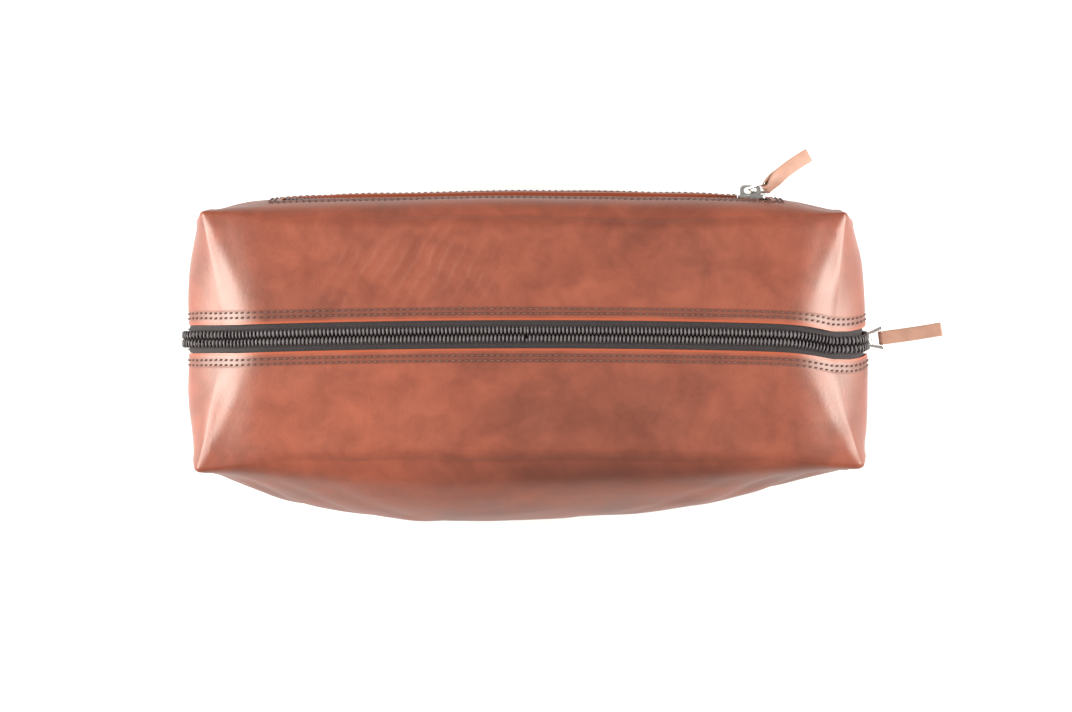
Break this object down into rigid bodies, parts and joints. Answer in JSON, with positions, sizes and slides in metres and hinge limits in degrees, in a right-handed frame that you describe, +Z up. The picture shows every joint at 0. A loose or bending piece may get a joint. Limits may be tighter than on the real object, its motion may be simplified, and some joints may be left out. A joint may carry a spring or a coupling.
{
  "type": "shaving kit bag",
  "caption": "Boxed leather shaving kit bag with a zip mouth along the top and down both ends, and a zip pocket in its back wall.",
  "frame": {"origin": "centre of the base's resting face, midway between the corner seams and on the line of the main zip", "axes": "+X along the main zip towards the end where its slider parks, -Y towards the plain front wall, +Y towards the pocket, +Z up"},
  "size_m": [0.2995, 0.1474, 0.1215],
  "materials": {
    "leather": "soft gloss",
    "lining": "matte",
    "tape": "matte",
    "coil": "satin",
    "metal": "polished nickel",
    "pull": "matte",
    "thread": "waxed"
  },
  "bodies": {
    "bag": {"front_panel": "leather", "back_panel": "leather", "front_lining": "lining", "back_lining": "lining", "pocket_pouch_outer": "lining", "pocket_pouch_inner": "lining", "left_end_zip_tapes": "tape", "right_end_zip_tapes": "tape", "left_end_zip_coils": "coil", "right_end_zip_coils": "coil", "pocket_tape_upper": "tape", "pocket_tape_lower": "tape", "pocket_coil_upper": "coil", "pocket_coil_lower": "coil", "end_zip_stitching": "thread", "pocket_stitching": "thread"},
    "front_mouth": {"front_flap": "leather", "front_flap_lining": "lining", "front_zip_tape": "tape", "front_zip_coil": "coil", "front_zip_stitching": "thread"},
    "back_mouth": {"back_flap": "leather", "back_flap_lining": "lining", "back_zip_tape": "tape", "back_zip_coil": "coil", "back_zip_stitching": "thread"},
    "main_slider": {"main_slider": "metal"},
    "main_pull": {"main_pull_ring": "metal", "main_pull_strap": "pull"},
    "pocket_slider": {"pocket_slider": "metal"},
    "pocket_pull": {"pocket_pull_ring": "metal", "pocket_pull_strap": "pull"}
  },
  "joints": [
    {"name": "front_mouth_opens", "type": "hinge", "parent": "bag", "child": "front_mouth", "pos_m": [0, -0.0457, 0.1161], "axis": [1, 0, 0], "range_deg": [0, 70]},
    {"name": "back_mouth_opens", "type": "hinge", "parent": "bag", "child": "back_mouth", "pos_m": [0, 0.0457, 0.1161], "axis": [-1, 0, 0], "range_deg": [0, 70]},
    {"name": "main_slide", "type": "slide", "parent": "bag", "child": "main_slider", "axis": [0, 0, 1], "range_m": [0, 0.024]},
    {"name": "main_pull_swing", "type": "hinge", "parent": "main_slider", "child": "main_pull", "pos_m": [0.1359, 0, 0.0665], "axis": [-0.1219, 0.9925, 0], "range_deg": [-80, 80]},
    {"name": "pocket_slide", "type": "slide", "parent": "bag", "child": "pocket_slider", "axis": [-1, 0, 0], "range_m": [0, 0.174]},
    {"name": "pocket_pull_swing", "type": "hinge", "parent": "pocket_slider", "child": "pocket_pull", "pos_m": [0.087, 0.05831, 0.09486], "axis": [-0.3535, 0.3535, 0.866], "range_deg": [0, 80]}
  ],
  "couplings": [
    {"joint": "back_mouth_opens", "follows": "front_mouth_opens", "ratio": 1}
  ]
}
